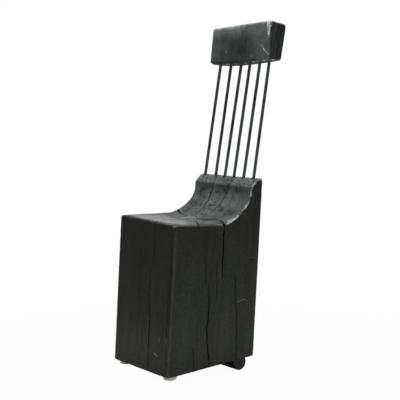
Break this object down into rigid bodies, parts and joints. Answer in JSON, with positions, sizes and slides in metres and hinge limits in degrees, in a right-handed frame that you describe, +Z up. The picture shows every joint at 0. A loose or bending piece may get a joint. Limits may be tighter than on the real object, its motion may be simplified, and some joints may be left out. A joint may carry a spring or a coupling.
{
  "type": "side chair",
  "caption": "Side chair cut from a blackened oak beam, with a scooped seat, a back of leaning steel rods, a block headrest, front glides and a rear wheelset.",
  "frame": {"origin": "on the floor, at the middle of the chair's outline seen from above", "axes": "+Z up, the sitter faces -Y, +X is the right-hand side seen from in front and runs along the axle"},
  "size_m": [0.3148, 0.4268, 1.0433],
  "materials": {
    "ebonised_oak": "ebonised and waxed",
    "blackened_steel": "blackened, satin",
    "nylon": "moulded, matt",
    "zinc_plated_steel": "zinc plated",
    "bronze": "turned"
  },
  "bodies": {
    "chair": {"seat_block": "ebonised_oak", "headrest": "ebonised_oak", "rod_1": "blackened_steel", "rod_2": "blackened_steel", "rod_3": "blackened_steel", "rod_4": "blackened_steel", "rod_5": "blackened_steel", "rod_6": "blackened_steel", "glide_left": "nylon", "glide_right": "nylon", "glide_screw_left": "zinc_plated_steel", "glide_screw_right": "zinc_plated_steel", "bush_left": "bronze", "bush_right": "bronze", "bracket_left": "blackened_steel", "bracket_right": "blackened_steel", "bracket_screws_left": "zinc_plated_steel", "bracket_screws_right": "zinc_plated_steel"},
    "wheelset": {"roller_left": "ebonised_oak", "roller_right": "ebonised_oak", "axle": "zinc_plated_steel", "washer_left": "zinc_plated_steel", "washer_right": "zinc_plated_steel"}
  },
  "joints": [
    {"name": "roller_spin", "type": "hinge", "parent": "chair", "child": "wheelset", "pos_m": [0, 0.0495, 0.0235], "axis": [1, 0, 0], "continuous": true}
  ]
}
